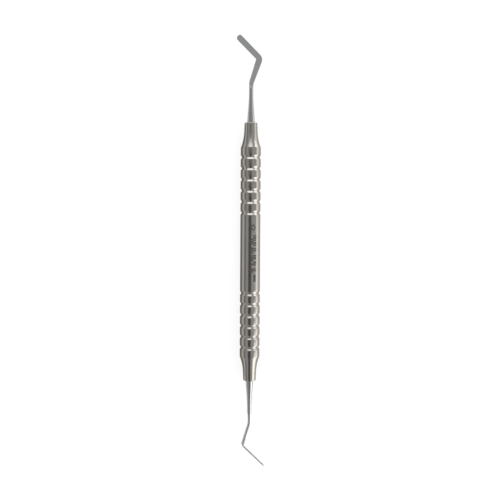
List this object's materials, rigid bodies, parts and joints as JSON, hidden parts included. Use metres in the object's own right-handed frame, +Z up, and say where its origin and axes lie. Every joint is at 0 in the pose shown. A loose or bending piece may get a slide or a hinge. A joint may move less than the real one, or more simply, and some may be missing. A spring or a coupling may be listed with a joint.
{
  "type": "dental plastic filling instrument",
  "caption": "Double-ended dental plastic filling instrument with a round ring-grooved steel handle and two bent flat spatula blades set at right angles to each other.",
  "frame": {"origin": "on the handle's axis, in the middle of its plain barrel; the part lies on its handle, whose lowest line is 4 mm below the origin", "axes": "+Y along the handle towards the blade that lies flat, +Z up and square to that blade's face, +X towards the side to which that end's strip leans; all bends are in the XY plane"},
  "size_m": [0.0121, 0.1736, 0.008],
  "materials": {
    "handle_steel": "fine-turned, polished, slightly warm",
    "tool_steel": "satin ground, slightly cooler and darker than the handle"
  },
  "bodies": {
    "root": {"handle": "handle_steel", "upper_working_end": "tool_steel", "lower_working_end": "tool_steel"}
  },
  "joints": []
}
